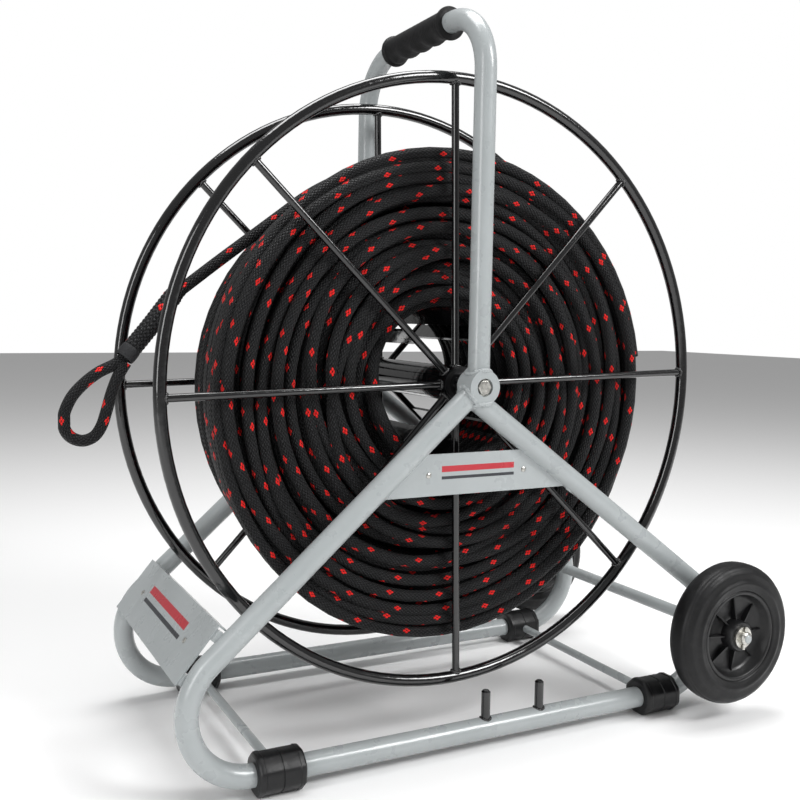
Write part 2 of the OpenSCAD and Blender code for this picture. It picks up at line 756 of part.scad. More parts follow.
left_side_tube();
right_side_tube();
carry_bow();
left_hub_boss();
right_hub_boss();
handle_grip();
left_side_plate();
side_plate_rivets();
front_plate();
front_plate_tabs();
front_plate_rivets();
left_front_foot();
left_rear_foot();
right_front_foot();
right_rear_foot();
front_cross_rod();
rear_cross_rod();
wheel_axle();
rail_pegs();
drum_axle();
axle_bolts();
axle_bolt_washers();
axle_spacers();
left_wheel_tyre();
left_wheel_rim();
left_wheel_bush();
right_wheel_tyre();
right_wheel_rim();
right_wheel_bush();
wheel_spacers();
wheel_washers();
split_pins();
left_flange_ring();
right_flange_ring();
left_flange_spokes();
right_flange_spokes();
drum_hub_tube();
drum_bushes();
core_bars();
rope_winding();
rope_last_turn();
rope_lead();
rope_splice();
rope_binding();
rope_eye();
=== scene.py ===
import math
import random

import bmesh
import bpy
from mathutils import Matrix, Vector


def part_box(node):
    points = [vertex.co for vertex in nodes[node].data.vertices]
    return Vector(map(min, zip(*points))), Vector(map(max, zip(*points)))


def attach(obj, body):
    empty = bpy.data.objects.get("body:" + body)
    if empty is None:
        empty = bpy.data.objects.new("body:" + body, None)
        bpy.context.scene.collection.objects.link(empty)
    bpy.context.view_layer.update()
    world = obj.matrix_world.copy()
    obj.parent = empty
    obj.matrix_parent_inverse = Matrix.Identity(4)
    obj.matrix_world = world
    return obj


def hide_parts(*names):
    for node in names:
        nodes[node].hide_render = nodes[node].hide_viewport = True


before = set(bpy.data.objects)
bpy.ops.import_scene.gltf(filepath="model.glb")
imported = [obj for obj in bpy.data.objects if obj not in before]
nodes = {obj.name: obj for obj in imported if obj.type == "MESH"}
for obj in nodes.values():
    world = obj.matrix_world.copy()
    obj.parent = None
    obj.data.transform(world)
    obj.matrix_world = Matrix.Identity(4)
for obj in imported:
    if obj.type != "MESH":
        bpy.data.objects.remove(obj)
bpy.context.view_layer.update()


# ---- Stand tubes ---------------------------------------------------------------
# Two bent side tubes, a bent carry bow, turned bosses, rods and the wheel axle, all steel,
# welded up and then powder coated in one light grey, with the fine orange peel that it leaves.

def middle(node):
    low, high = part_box(node)
    return (low + high) / 2


hub = middle("drum_hub_tube")


def new_material(name):
    material = bpy.data.materials.new(name)
    material.use_nodes = True
    shader = material.node_tree.nodes["Principled BSDF"]
    return material, material.node_tree, shader


def spots(tree, size, detail=4, rough=0.55, stretch=(1, 1, 1)):
    """Noise with features of about size metres, on the piece's own coordinates."""
    place = tree.nodes.new("ShaderNodeTexCoord")
    fit = tree.nodes.new("ShaderNodeMapping")
    fit.inputs["Scale"].default_value = stretch
    noise = tree.nodes.new("ShaderNodeTexNoise")
    noise.inputs["Scale"].default_value = 1 / size
    noise.inputs["Detail"].default_value = detail
    noise.inputs["Roughness"].default_value = rough
    tree.links.new(place.outputs["Object"], fit.inputs["Vector"])
    tree.links.new(fit.outputs["Vector"], noise.inputs["Vector"])
    return noise.outputs["Fac"]


def between(tree, value, low, high, out_low, out_high):
    """Stretches the values from low to high over out_low to out_high."""
    remap = tree.nodes.new("ShaderNodeMapRange")
    for socket, number in zip(("From Min", "From Max", "To Min", "To Max"),
                              (low, high, out_low, out_high)):
        remap.inputs[socket].default_value = number
    tree.links.new(value, remap.inputs["Value"])
    return remap.outputs["Result"]


def mixed(tree, amount, under, over):
    """One colour over another. A colour is three numbers or a socket."""
    mix = tree.nodes.new("ShaderNodeMix")
    mix.data_type = "RGBA"
    tree.links.new(amount, mix.inputs[0])
    for socket, colour in ((mix.inputs[6], under), (mix.inputs[7], over)):
        if isinstance(colour, bpy.types.NodeSocket):
            tree.links.new(colour, socket)
        else:
            socket.default_value = (*colour, 1)
    return mix.outputs[2]


def relief(tree, shader, height, depth, under=None):
    """A bump of depth metres, on top of another bump if there is one."""
    bump = tree.nodes.new("ShaderNodeBump")
    bump.inputs["Distance"].default_value = depth
    tree.links.new(height, bump.inputs["Height"])
    if under is not None:
        tree.links.new(under, bump.inputs["Normal"])
    tree.links.new(bump.outputs["Normal"], shader.inputs["Normal"])
    return bump.outputs["Normal"]


def powder_coat():
    material, tree, shader = new_material("grey_powder_coat")
    tone = mixed(tree, between(tree, spots(tree, 0.11), 0.3, 0.7, 0, 1),
                 (0.33, 0.355, 0.36), (0.37, 0.395, 0.40))
    rubbed = between(tree, spots(tree, 0.012, 6, 0.7, (1, 1, 0.35)), 0.66, 0.74, 0, 0.45)
    shaded = mixed(tree, rubbed, tone, (0.27, 0.29, 0.295))
    tree.links.new(shaded, shader.inputs["Base Color"])
    tree.links.new(between(tree, spots(tree, 0.03), 0.3, 0.7, 0.24, 0.36), shader.inputs["Roughness"])
    shader.inputs["Coat Weight"].default_value = 0.35
    shader.inputs["Coat Roughness"].default_value = 0.12
    waves = relief(tree, shader, spots(tree, 0.009, 1), 0.0003)
    relief(tree, shader, spots(tree, 0.0016, 2), 0.00006, waves)
    return material


def coated(material, slot, *names):
    """A CAD piece whose shape is right keeps it, and gets a better finish."""
    for name in names:
        piece = nodes[name]
        piece.data.materials.clear()
        piece.data.materials.append(material)


grey_coat = powder_coat()
coated(grey_coat, "grey_powder_coat", "left_side_tube", "right_side_tube", "carry_bow",
       "left_hub_boss", "right_hub_boss", "front_cross_rod", "rear_cross_rod", "wheel_axle",
       "front_plate_tabs")


# ---- Drum steelwork ------------------------------------------------------------
# Flange rings, spokes, hub tube and flat core bars: bright black enamel over welded steel,
# with dust in the film and small runs near the joints. The axle spacers have the same paint.

def black_enamel():
    material, tree, shader = new_material("black_gloss_paint")
    dust = between(tree, spots(tree, 0.004, 8, 0.8), 0.62, 0.8, 0, 0.35)
    tree.links.new(mixed(tree, dust, (0.0022, 0.0022, 0.0026), (0.012, 0.012, 0.012)),
                   shader.inputs["Base Color"])
    tree.links.new(between(tree, spots(tree, 0.02), 0.3, 0.7, 0.08, 0.18), shader.inputs["Roughness"])
    shader.inputs["Coat Weight"].default_value = 0.6
    shader.inputs["Coat Roughness"].default_value = 0.06
    relief(tree, shader, spots(tree, 0.012, 2), 0.00045)
    return material


enamel = black_enamel()
coated(enamel, "black_gloss_paint", "left_flange_ring", "right_flange_ring", "left_flange_spokes",
       "right_flange_spokes", "drum_hub_tube", "core_bars", "axle_spacers", "rail_pegs")


# ---- Welds ---------------------------------------------------------------------
# Every joint of the stand and the drum has a weld bead round it, painted over with the rest.
# A bead is a run of small overlapping drops along the line where one bar meets the other.

def add_input(tree, kind, name):
    return tree.interface.new_socket(name, in_out="INPUT", socket_type="NodeSocket" + kind)


def set_input(modifier, name, value):
    for item in modifier.node_group.interface.items_tree:
        if item.item_type == "SOCKET" and item.in_out == "INPUT" and item.name == name:
            modifier[item.identifier] = value


def bead_tree():
    """Drops of about the bead's radius along each weld line, no two quite alike."""
    tree = bpy.data.node_groups.new("weld_bead", "GeometryNodeTree")
    for kind, name in (("Geometry", "Lines"), ("Float", "Bead Radius"), ("Float", "Drop Pitch"),
                       ("Int", "Seed"), ("Material", "Finish")):
        add_input(tree, kind, name)
    tree.interface.new_socket("Welds", in_out="OUTPUT", socket_type="NodeSocketGeometry")
    new, link = tree.nodes.new, tree.links.new
    given, made = new("NodeGroupInput"), new("NodeGroupOutput")
    along = new("GeometryNodeResampleCurve")
    along.mode = "LENGTH"
    drop = new("GeometryNodeMeshIcoSphere")
    drop.inputs["Subdivisions"].default_value = 2
    size = new("FunctionNodeRandomValue")
    size.data_type = "FLOAT_VECTOR"
    size.inputs[0].default_value = (0.82, 0.82, 0.82)
    size.inputs[1].default_value = (1.18, 1.18, 1.18)
    place = new("GeometryNodeInstanceOnPoints")
    real, smooth = new("GeometryNodeRealizeInstances"), new("GeometryNodeSetShadeSmooth")
    finish = new("GeometryNodeSetMaterial")
    link(given.outputs["Lines"], along.inputs["Curve"])
    link(given.outputs["Drop Pitch"], along.inputs["Length"])
    link(given.outputs["Bead Radius"], drop.inputs["Radius"])
    link(given.outputs["Seed"], size.inputs["Seed"])
    link(along.outputs["Curve"], place.inputs["Points"])
    link(drop.outputs["Mesh"], place.inputs["Instance"])
    link(size.outputs["Value"], place.inputs["Scale"])
    link(place.outputs["Instances"], real.inputs["Geometry"])
    link(real.outputs["Geometry"], smooth.inputs["Geometry"])
    link(smooth.outputs["Geometry"], finish.inputs["Geometry"])
    link(given.outputs["Finish"], finish.inputs["Material"])
    link(finish.outputs["Geometry"], made.inputs["Welds"])
    return tree


def route_object(name, routes, thickness=None):
    """A curve object with one straight-sided spline for each route."""
    curve = bpy.data.curves.new(name, "CURVE")
    curve.dimensions = "3D"
    for route in routes:
        spline = curve.splines.new("POLY")
        spline.points.add(len(route) - 1)
        spline.points.foreach_set("co", [c for p in route for c in (*p, 1)])
        if thickness:
            spline.points.foreach_set("radius", thickness)
    obj = bpy.data.objects.new(name, curve)
    bpy.context.collection.objects.link(obj)
    return obj


def plain_mesh(obj, name):
    """The evaluated object as a plain mesh object, with nothing live left on it."""
    graph = bpy.context.evaluated_depsgraph_get()
    mesh = bpy.data.meshes.new_from_object(obj.evaluated_get(graph), depsgraph=graph)
    mesh.name = name
    bpy.data.objects.remove(obj)
    piece = bpy.data.objects.new(name, mesh)
    bpy.context.collection.objects.link(piece)
    return piece


def round_joint(at, along, out, bar_r, tube_r, offset=0, steps=24):
    """The closed line where a bar that leaves a tube along out cuts the tube's surface.
    The tube runs along along, and offset is how far beside its middle the bar's line passes."""
    side = along.cross(out)
    line = []
    for k in range(steps + 1):
        turn = math.tau * k / steps
        across = offset + bar_r * math.sin(turn)
        reach = math.sqrt(max(tube_r ** 2 - across ** 2, (tube_r * 0.2) ** 2))
        line.append(at + bar_r * math.cos(turn) * along + across * side + reach * out)
    return line


weld_bead = bead_tree()


def welded(name, lines, bead, material, body):
    drawn = route_object(name + "_lines", lines)
    modifier = drawn.modifiers.new("welds", "NODES")
    modifier.node_group = weld_bead
    set_input(modifier, "Bead Radius", bead)
    set_input(modifier, "Drop Pitch", bead * 0.8)
    set_input(modifier, "Seed", 4)
    set_input(modifier, "Finish", material)
    piece = plain_mesh(drawn, name)
    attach(piece, body)
    return piece


def on_drum(angle, radius, y):
    """A point on the drum, from its angle above the +X axis."""
    return hub + Vector((radius * math.cos(angle), y, radius * math.sin(angle)))


across = Vector((0, 1, 0))
ring_low, ring_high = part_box("left_flange_ring")
ring_tube = (ring_high.y - ring_low.y) / 2
ring_radius = (ring_high.x - ring_low.x) / 2 - ring_tube
flange_y = -(ring_high.y + ring_low.y) / 2
hub_tube_r = (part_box("drum_hub_tube")[1].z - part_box("drum_hub_tube")[0].z) / 2
spoke_r = 0.005
spoke_count = 8
first_spoke = math.radians(1.5)
spoke_angles = [first_spoke + math.tau * k / spoke_count for k in range(spoke_count)]

drum_lines = []
for y in (-flange_y, flange_y):
    for angle in spoke_angles:
        out = Vector((math.cos(angle), 0, math.sin(angle)))
        round_ring = out.cross(across)
        drum_lines.append(round_joint(on_drum(angle, ring_radius, y), round_ring, -out,
                                      spoke_r + 0.0006, ring_tube))
        drum_lines.append(round_joint(on_drum(angle, 0, y), across, out,
                                      spoke_r + 0.0006, hub_tube_r))
welded("drum_welds", drum_lines, 0.0021, enamel, "drum")

# The stand's own beads: legs and upright on each boss, tacks along the side plate, pegs on the
# rail. They are thicker than the drum's, because the tube is.
side_y = -(middle("left_hub_boss").y)
tube_r = 0.014
boss_r = (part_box("left_hub_boss")[1].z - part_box("left_hub_boss")[0].z) / 2
front_leg = math.radians(-138.68)
rear_leg = math.radians(-35.64)
rear_leg_drop = 0.016
stand_lines = []
for y in (-side_y, side_y):
    boss = Vector((hub.x, y, hub.z))
    for angle, offset in ((front_leg, 0), (rear_leg, rear_leg_drop), (math.pi / 2, 0)):
        out = Vector((math.cos(angle), 0, math.sin(angle)))
        stand_lines.append(round_joint(boss, across, out, tube_r + 0.0008, boss_r, offset))
welded("stand_welds", stand_lines, 0.0034, grey_coat, "stand")

plate_low, plate_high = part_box("left_side_plate")
tack_lines = []
for angle, drop, inward in ((front_leg, 0, 1), (rear_leg, rear_leg_drop, -1)):
    out = Vector((math.cos(angle), 0, math.sin(angle)))
    inner = inward * Vector((-out.z, 0, out.x))
    start = Vector((hub.x, plate_low.y - 0.0004, hub.z)) + inner * (tube_r - 0.0002 + drop)
    for depth in (0.006, 0.022, 0.038):
        along = (hub.z - plate_high.z + depth) / -out.z - drop * 0.6
        tack_lines.append([start + out * along, start + out * (along + 0.009)])
welded("side_plate_tacks", tack_lines, 0.0016, grey_coat, "stand")

peg_low, peg_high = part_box("rail_pegs")
peg_r = 0.006
rail_z = middle("front_cross_rod").z
peg_lines = [round_joint(Vector((x, -side_y, rail_z)), Vector((1, 0, 0)), Vector((0, 0, 1)),
                         peg_r + 0.0008, tube_r)
             for x in (peg_low.x + peg_r, peg_high.x - peg_r)]
welded("peg_welds", peg_lines, 0.0016, enamel, "stand")


# ---- Handle grip ---------------------------------------------------------------
# A black rubber sleeve pushed over the bow, with a lip at each end, four finger hollows
# underneath and fine moulded ribs. It has no print on it.

def grip_rubber():
    material, tree, shader = new_material("grip_rubber")
    shader.inputs["Specular IOR Level"].default_value = 0.25
    rubbed = between(tree, spots(tree, 0.0022, 6, 0.7), 0.5, 0.75, 0, 1)
    tree.links.new(mixed(tree, rubbed, (0.005, 0.005, 0.0055), (0.016, 0.016, 0.0165)),
                   shader.inputs["Base Color"])
    tree.links.new(between(tree, spots(tree, 0.006), 0.3, 0.7, 0.5, 0.66), shader.inputs["Roughness"])
    relief(tree, shader, spots(tree, 0.0012, 3), 0.0002)
    return material


grip_low, grip_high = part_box("handle_grip")
grip_mid = (grip_low + grip_high) / 2
grip_half = (grip_high.y - grip_low.y) / 2
handle_z = grip_high.z - (grip_high.x - grip_low.x) / 2
grip_r = 0.0195
lip_r = (grip_high.x - grip_low.x) / 2
lip_half = grip_half - 0.0025
stations, around = 150, 56
grip_mesh = bmesh.new()
rings = []
for i in range(stations + 1):
    y = grip_half * (2 * i / stations - 1)
    lip = max(0.0, 1 - ((abs(y) - lip_half) / 0.0035) ** 2) ** 0.5 if abs(abs(y) - lip_half) < 0.0035 else 0
    hand = grip_half - 0.010
    wave = (0.5 + 0.5 * math.cos(math.tau * (y / hand + 1) * 2)) if abs(y) < hand else 1
    ring = []
    for k in range(around):
        turn = math.tau * k / around
        below = max(0.0, -math.sin(turn)) ** 1.5
        rib = 0.00022 * max(0.0, math.sin(math.tau * y / 0.004)) if abs(y) < hand else 0
        r = grip_r + (lip_r - grip_r) * lip + rib - 0.0038 * (1 - wave) * below
        r = min(r, lip_r - 0.0002)
        ring.append(grip_mesh.verts.new((grip_mid.x + r * math.cos(turn), grip_mid.y + y,
                                         handle_z + r * math.sin(turn))))
    rings.append(ring)
for first, second in zip(rings, rings[1:]):
    for k in range(around):
        j = (k + 1) % around
        grip_mesh.faces.new((first[k], first[j], second[j], second[k]))
for ring, end in ((rings[0], grip_low.y), (rings[-1], grip_high.y)):
    hole = [grip_mesh.verts.new((grip_mid.x + tube_r * math.cos(math.tau * k / around), end,
                                 handle_z + tube_r * math.sin(math.tau * k / around)))
            for k in range(around)]
    for k in range(around):
        j = (k + 1) % around
        grip_mesh.faces.new((ring[k], ring[j], hole[j], hole[k]))
bmesh.ops.recalc_face_normals(grip_mesh, faces=grip_mesh.faces)


def finished(name, shape, material, slot, body, *stands_for):
    """A bmesh as a smooth piece that rides on a body and stands for CAD nodes."""
    mesh = bpy.data.meshes.new(name)
    shape.to_mesh(mesh)
    shape.free()
    mesh.materials.append(material)
    mesh.shade_smooth()
    piece = bpy.data.objects.new(name, mesh)
    bpy.context.collection.objects.link(piece)
    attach(piece, body)
    if stands_for:
        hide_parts(*stands_for)
    return piece


finished("rubber_grip", grip_mesh, grip_rubber(), "grip_rubber", "stand", "handle_grip")


# ---- Plates --------------------------------------------------------------------
# Folded sheet with the stand's grey coat: one plate between the left legs, one across the two
# front bends. Each has a plain red and black stripe and is fixed with two zinc rivets.

def striped_coat(name, at, along, up, half_length, stripe):
    """The grey coat with two printed stripes that run along the plate through the point at."""
    material = grey_coat.copy()
    material.name = name
    tree = material.node_tree
    shader = tree.nodes["Principled BSDF"]
    place = tree.nodes.new("ShaderNodeTexCoord")
    shift = tree.nodes.new("ShaderNodeVectorMath")
    shift.operation = "SUBTRACT"
    shift.inputs[1].default_value = at
    tree.links.new(place.outputs["Object"], shift.inputs[0])

    def measured(direction):
        dot = tree.nodes.new("ShaderNodeVectorMath")
        dot.operation = "DOT_PRODUCT"
        dot.inputs[1].default_value = direction
        tree.links.new(shift.outputs["Vector"], dot.inputs[0])
        return dot.outputs["Value"]

    def near(value, middle_value, reach):
        node = tree.nodes.new("ShaderNodeMath")
        node.operation = "COMPARE"
        node.inputs[1].default_value = middle_value
        node.inputs[2].default_value = reach
        tree.links.new(value, node.inputs[0])
        return node.outputs[0]

    def both(first, second):
        node = tree.nodes.new("ShaderNodeMath")
        node.operation = "MULTIPLY"
        tree.links.new(first, node.inputs[0])
        tree.links.new(second, node.inputs[1])
        return node.outputs[0]

    length, height = measured(along), measured(up)
    inside = near(length, 0, half_length)
    red = both(inside, near(height, stripe, stripe * 0.55))
    black = both(inside, near(height, -stripe * 0.6, stripe * 0.28))
    coat = shader.inputs["Base Color"].links[0].from_socket
    printed = mixed(tree, black, mixed(tree, red, coat, (0.42, 0.008, 0.02)), (0.012, 0.014, 0.02))
    tree.links.new(printed, shader.inputs["Base Color"])
    return material


side_print = striped_coat("side_plate_coat", (plate_low + plate_high) / 2, (1, 0, 0), (0, 0, 1), 0.055, 0.007)
coated(side_print, "grey_powder_coat", "left_side_plate")

front_low, front_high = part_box("front_plate")
front_mid = (front_low + front_high) / 2
slope = math.radians(50.5)
up_slope = (math.cos(slope), 0, math.sin(slope))
front_print = striped_coat("front_plate_coat", front_mid, (0, 1, 0), up_slope, 0.085, 0.010)
coated(front_print, "grey_powder_coat", "front_plate")


# ---- Zinc fixings --------------------------------------------------------------
# Bright zinc-plated steel: rivets, the axle bolts in their recesses, washers, spacers, split
# pins, and the drum axle. The plating is brushed by handling and a little dull in the corners.

def zinc_plate():
    material, tree, shader = new_material("zinc_steel")
    tree.links.new(mixed(tree, between(tree, spots(tree, 0.004, 5), 0.35, 0.7, 0, 1),
                         (0.62, 0.61, 0.57), (0.42, 0.41, 0.38)), shader.inputs["Base Color"])
    shader.inputs["Metallic"].default_value = 1
    tree.links.new(between(tree, spots(tree, 0.0025), 0.3, 0.7, 0.22, 0.42), shader.inputs["Roughness"])
    relief(tree, shader, spots(tree, 0.0008, 3, 0.6, (1, 6, 1)), 0.00008)
    return material


zinc = zinc_plate()
coated(zinc, "zinc_steel", "side_plate_rivets", "front_plate_rivets", "drum_axle", "axle_bolt_washers",
       "wheel_spacers", "split_pins", "left_wheel_bush", "right_wheel_bush",
       "wheel_washers")

# The wheel axle's ends are bare and domed, and stand out of the washers.
wheel_low, wheel_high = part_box("left_wheel_tyre")
wheel_at = (wheel_low + wheel_high) / 2
axle_r = 0.009
axle_end_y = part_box("wheel_axle")[1].y


def turned(shape, profile, at, outward=1, steps=64):
    """Turns a profile of (radius, distance along Y) points about a line along Y."""
    start = len(shape.verts)
    rows = [[shape.verts.new((at.x + r * math.cos(math.tau * k / steps), at.y + outward * y,
                              at.z + r * math.sin(math.tau * k / steps))) for k in range(steps)]
            for r, y in profile]
    for first, second in zip(rows, rows[1:]):
        for k in range(steps):
            j = (k + 1) % steps
            shape.faces.new((first[k], first[j], second[j], second[k]))
    return rows


def capped(shape, row):
    shape.faces.new(row)


dome = bmesh.new()
for side in (-1, 1):
    profile = [(axle_r + 0.0002, -0.014)] + [
        ((axle_r + 0.0002) * math.cos(a), 0.0044 * math.sin(a) - 0.0046)
        for a in (math.radians(d) for d in range(0, 90, 10))]
    at = Vector((wheel_at.x, side * axle_end_y, wheel_at.z))
    rows = turned(dome, profile, at, side, 40)
    capped(dome, rows[-1])
    capped(dome, rows[0])
bmesh.ops.recalc_face_normals(dome, faces=dome.faces)
finished("wheel_axle_domes", dome, zinc, "zinc_steel", "stand")

# The axle bolts have hexagon heads with a turned chamfer and a slightly sunk middle.
bolt_end, bolt_washer_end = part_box("axle_bolts")[1].y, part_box("axle_bolt_washers")[1].y
bolt_flats, bolt_r, bolt_reach = 0.018, 0.006, 0.044
bolt_corner = bolt_flats / 2 / math.cos(math.pi / 6)
bolts = bmesh.new()
for side in (-1, 1):
    at = Vector((hub.x, 0, hub.z))
    head = [(bolt_corner, bolt_washer_end), (bolt_corner, bolt_end - 0.0016),
            (bolt_corner * 0.95, bolt_end - 0.0006), (bolt_corner * 0.86, bolt_end),
            (bolt_corner * 0.55, bolt_end), (bolt_corner * 0.5, bolt_end - 0.0004)]
    shank = [(bolt_r, side_y - bolt_reach), (bolt_r, bolt_washer_end)]
    for profile, steps in ((head, 6), (shank, 32)):
        rows = turned(bolts, profile, at, side, steps)
        capped(bolts, rows[0])
        capped(bolts, rows[-1])
bmesh.ops.recalc_face_normals(bolts, faces=bolts.faces)
bolt_heads = finished("chamfered_axle_bolts", bolts, zinc, "zinc_steel", "stand", "axle_bolts")
bolt_heads.data.set_sharp_from_angle(angle=math.radians(20))


# ---- Feet ----------------------------------------------------------------------
# Four moulded black plastic blocks clamped round the rails, each in two halves with a parting
# line, a low ridge near both ends and rounded corners.

def moulded_plastic():
    material, tree, shader = new_material("black_plastic")
    shader.inputs["Specular IOR Level"].default_value = 0.4
    tree.links.new(mixed(tree, between(tree, spots(tree, 0.007, 6, 0.7), 0.5, 0.75, 0, 1),
                         (0.0035, 0.0035, 0.004), (0.011, 0.011, 0.012)), shader.inputs["Base Color"])
    tree.links.new(between(tree, spots(tree, 0.015), 0.3, 0.7, 0.3, 0.48), shader.inputs["Roughness"])
    grain = relief(tree, shader, spots(tree, 0.0009, 2), 0.00012)
    relief(tree, shader, spots(tree, 0.014, 2), 0.0004, grain)
    return material


plastic = moulded_plastic()
coated(plastic, "black_plastic", "drum_bushes")


def moulded_foot(name, node):
    low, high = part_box(node)
    at, half = (low + high) / 2, (high - low) / 2
    flat = half.z
    corners = []
    for k in range(8):
        turn = math.tau * (k + 0.5) / 8
        corner = Vector((math.cos(turn), math.sin(turn))) * flat / math.cos(math.pi / 8)
        for step in (-1, 1):
            bend = turn + step * 0.09
            sides = (k * math.pi / 4, (k + 1) * math.pi / 4)
            reach = flat / max(abs(math.cos(bend - side)) for side in sides)
            corners.append(Vector((math.cos(bend), math.sin(bend))) * min(corner.length * 0.985, reach))
    shape = bmesh.new()
    rows = []
    # distance from the middle as a share of the half length, and how much narrower it is there
    half_foot = [(0.012, 0.0016), (0.03, 0.0008), (0.71, 0.0008), (0.74, 0.0), (0.80, 0.0),
                 (0.90, 0.0004), (0.96, 0.0016), (1, 0.0040)]
    for reach, narrower in [(-r, n) for r, n in reversed(half_foot)] + half_foot:
        rows.append([shape.verts.new((at.x + half.x * reach, at.y + c.x * (1 - narrower / flat),
                                      at.z + c.y * (1 - narrower / flat))) for c in corners])
    count = len(corners)
    for first, second in zip(rows, rows[1:]):
        for k in range(count):
            j = (k + 1) % count
            shape.faces.new((first[k], first[j], second[j], second[k]))
    shape.faces.new(rows[0])
    shape.faces.new(rows[-1])
    bmesh.ops.recalc_face_normals(shape, faces=shape.faces)
    piece = finished(name, shape, plastic, "black_plastic", "stand", node)
    piece.data.set_sharp_from_angle(angle=math.radians(24))
    return piece


for end in ("left_front", "left_rear", "right_front", "right_rear"):
    moulded_foot(end + "_moulded_foot", end + "_foot")


# ---- Wheels --------------------------------------------------------------------
# A solid rubber tyre with shoulder grooves and a stepped sidewall, moulded onto a black
# plastic rim whose dish has radial ribs on both sides. Each turns on its own bush.

def tyre_rubber():
    material, tree, shader = new_material("tyre_rubber")
    shader.inputs["Specular IOR Level"].default_value = 0.3
    dusty = between(tree, spots(tree, 0.009, 7, 0.75), 0.48, 0.72, 0, 1)
    tree.links.new(mixed(tree, dusty, (0.0035, 0.0035, 0.004), (0.011, 0.011, 0.0115)),
                   shader.inputs["Base Color"])
    tree.links.new(between(tree, spots(tree, 0.02), 0.3, 0.7, 0.36, 0.56), shader.inputs["Roughness"])
    grain = relief(tree, shader, spots(tree, 0.0018, 3), 0.00012)
    relief(tree, shader, spots(tree, 0.03, 2), 0.0006, grain)
    return material


rubber = tyre_rubber()
tyre_r = (wheel_high.z - wheel_low.z) / 2
tyre_half = (wheel_high.y - wheel_low.y) / 2
seat_r = tyre_r - 0.036
# radius and distance from the wheel's middle, from the bead on the rim to the middle of the tread
half_tyre = [
    (seat_r, tyre_half - 0.0035), (seat_r + 0.001, tyre_half - 0.0022),
    (seat_r + 0.003, tyre_half - 0.0018),
    (seat_r + 0.0075, tyre_half - 0.0012), (seat_r + 0.009, tyre_half - 0.0002), (seat_r + 0.0105, tyre_half),
    (seat_r + 0.012, tyre_half - 0.0004), (seat_r + 0.0135, tyre_half - 0.0018),
    (seat_r + 0.018, tyre_half - 0.0030), (tyre_r - 0.013, tyre_half - 0.0030),
    (tyre_r - 0.0105, tyre_half - 0.0036), (tyre_r - 0.0085, tyre_half - 0.0052),
    (tyre_r - 0.0075, tyre_half - 0.0058), (tyre_r - 0.0066, tyre_half - 0.0062),
    (tyre_r - 0.0042, tyre_half - 0.0082), (tyre_r - 0.0026, tyre_half - 0.0106),
    (tyre_r - 0.0026, tyre_half - 0.0114), (tyre_r - 0.0016, tyre_half - 0.0120),
    (tyre_r - 0.0006, tyre_half - 0.0150), (tyre_r, tyre_half - 0.0190)]
tyre_profile = half_tyre + [(r, -y) for r, y in reversed(half_tyre)]
barrel_r, barrel_half = seat_r - 0.006, tyre_half - 0.003
wheel_hub_r = 0.021
rim_profile = [
    (seat_r, 0), (seat_r, barrel_half - 0.001), (seat_r - 0.001, barrel_half),
    (barrel_r + 0.0014, barrel_half),
    (barrel_r, barrel_half - 0.0016), (barrel_r - 0.003, 0.008), (barrel_r - 0.008, 0.0045),
    (barrel_r - 0.020, 0.004), (wheel_hub_r + 0.006, 0.004), (wheel_hub_r + 0.0015, 0.0065),
    (wheel_hub_r, tyre_half - 0.002), (wheel_hub_r - 0.0015, tyre_half), (0.013, tyre_half)]


def round_tree():
    """Copies of one shape, evenly round the wheel's axis."""
    tree = bpy.data.node_groups.new("evenly_round", "GeometryNodeTree")
    for kind, name in (("Geometry", "Shape"), ("Int", "Count"), ("Material", "Finish")):
        add_input(tree, kind, name)
    tree.interface.new_socket("Shapes", in_out="OUTPUT", socket_type="NodeSocketGeometry")
    new, link = tree.nodes.new, tree.links.new
    given, made = new("NodeGroupInput"), new("NodeGroupOutput")
    points, index = new("GeometryNodePoints"), new("GeometryNodeInputIndex")
    share, turn, euler = new("ShaderNodeMath"), new("ShaderNodeMath"), new("ShaderNodeCombineXYZ")
    share.operation, turn.operation = "DIVIDE", "MULTIPLY"
    turn.inputs[1].default_value = math.tau
    place, real = new("GeometryNodeInstanceOnPoints"), new("GeometryNodeRealizeInstances")
    finish = new("GeometryNodeSetMaterial")
    link(given.outputs["Count"], points.inputs["Count"])
    link(index.outputs["Index"], share.inputs[0])
    link(given.outputs["Count"], share.inputs[1])
    link(share.outputs[0], turn.inputs[0])
    link(turn.outputs[0], euler.inputs["Y"])
    link(points.outputs["Points"], place.inputs["Points"])
    link(given.outputs["Shape"], place.inputs["Instance"])
    link(euler.outputs["Vector"], place.inputs["Rotation"])
    link(place.outputs["Instances"], real.inputs["Geometry"])
    link(real.outputs["Geometry"], finish.inputs["Geometry"])
    link(given.outputs["Finish"], finish.inputs["Material"])
    link(finish.outputs["Geometry"], made.inputs["Shapes"])
    return tree


evenly_round = round_tree()


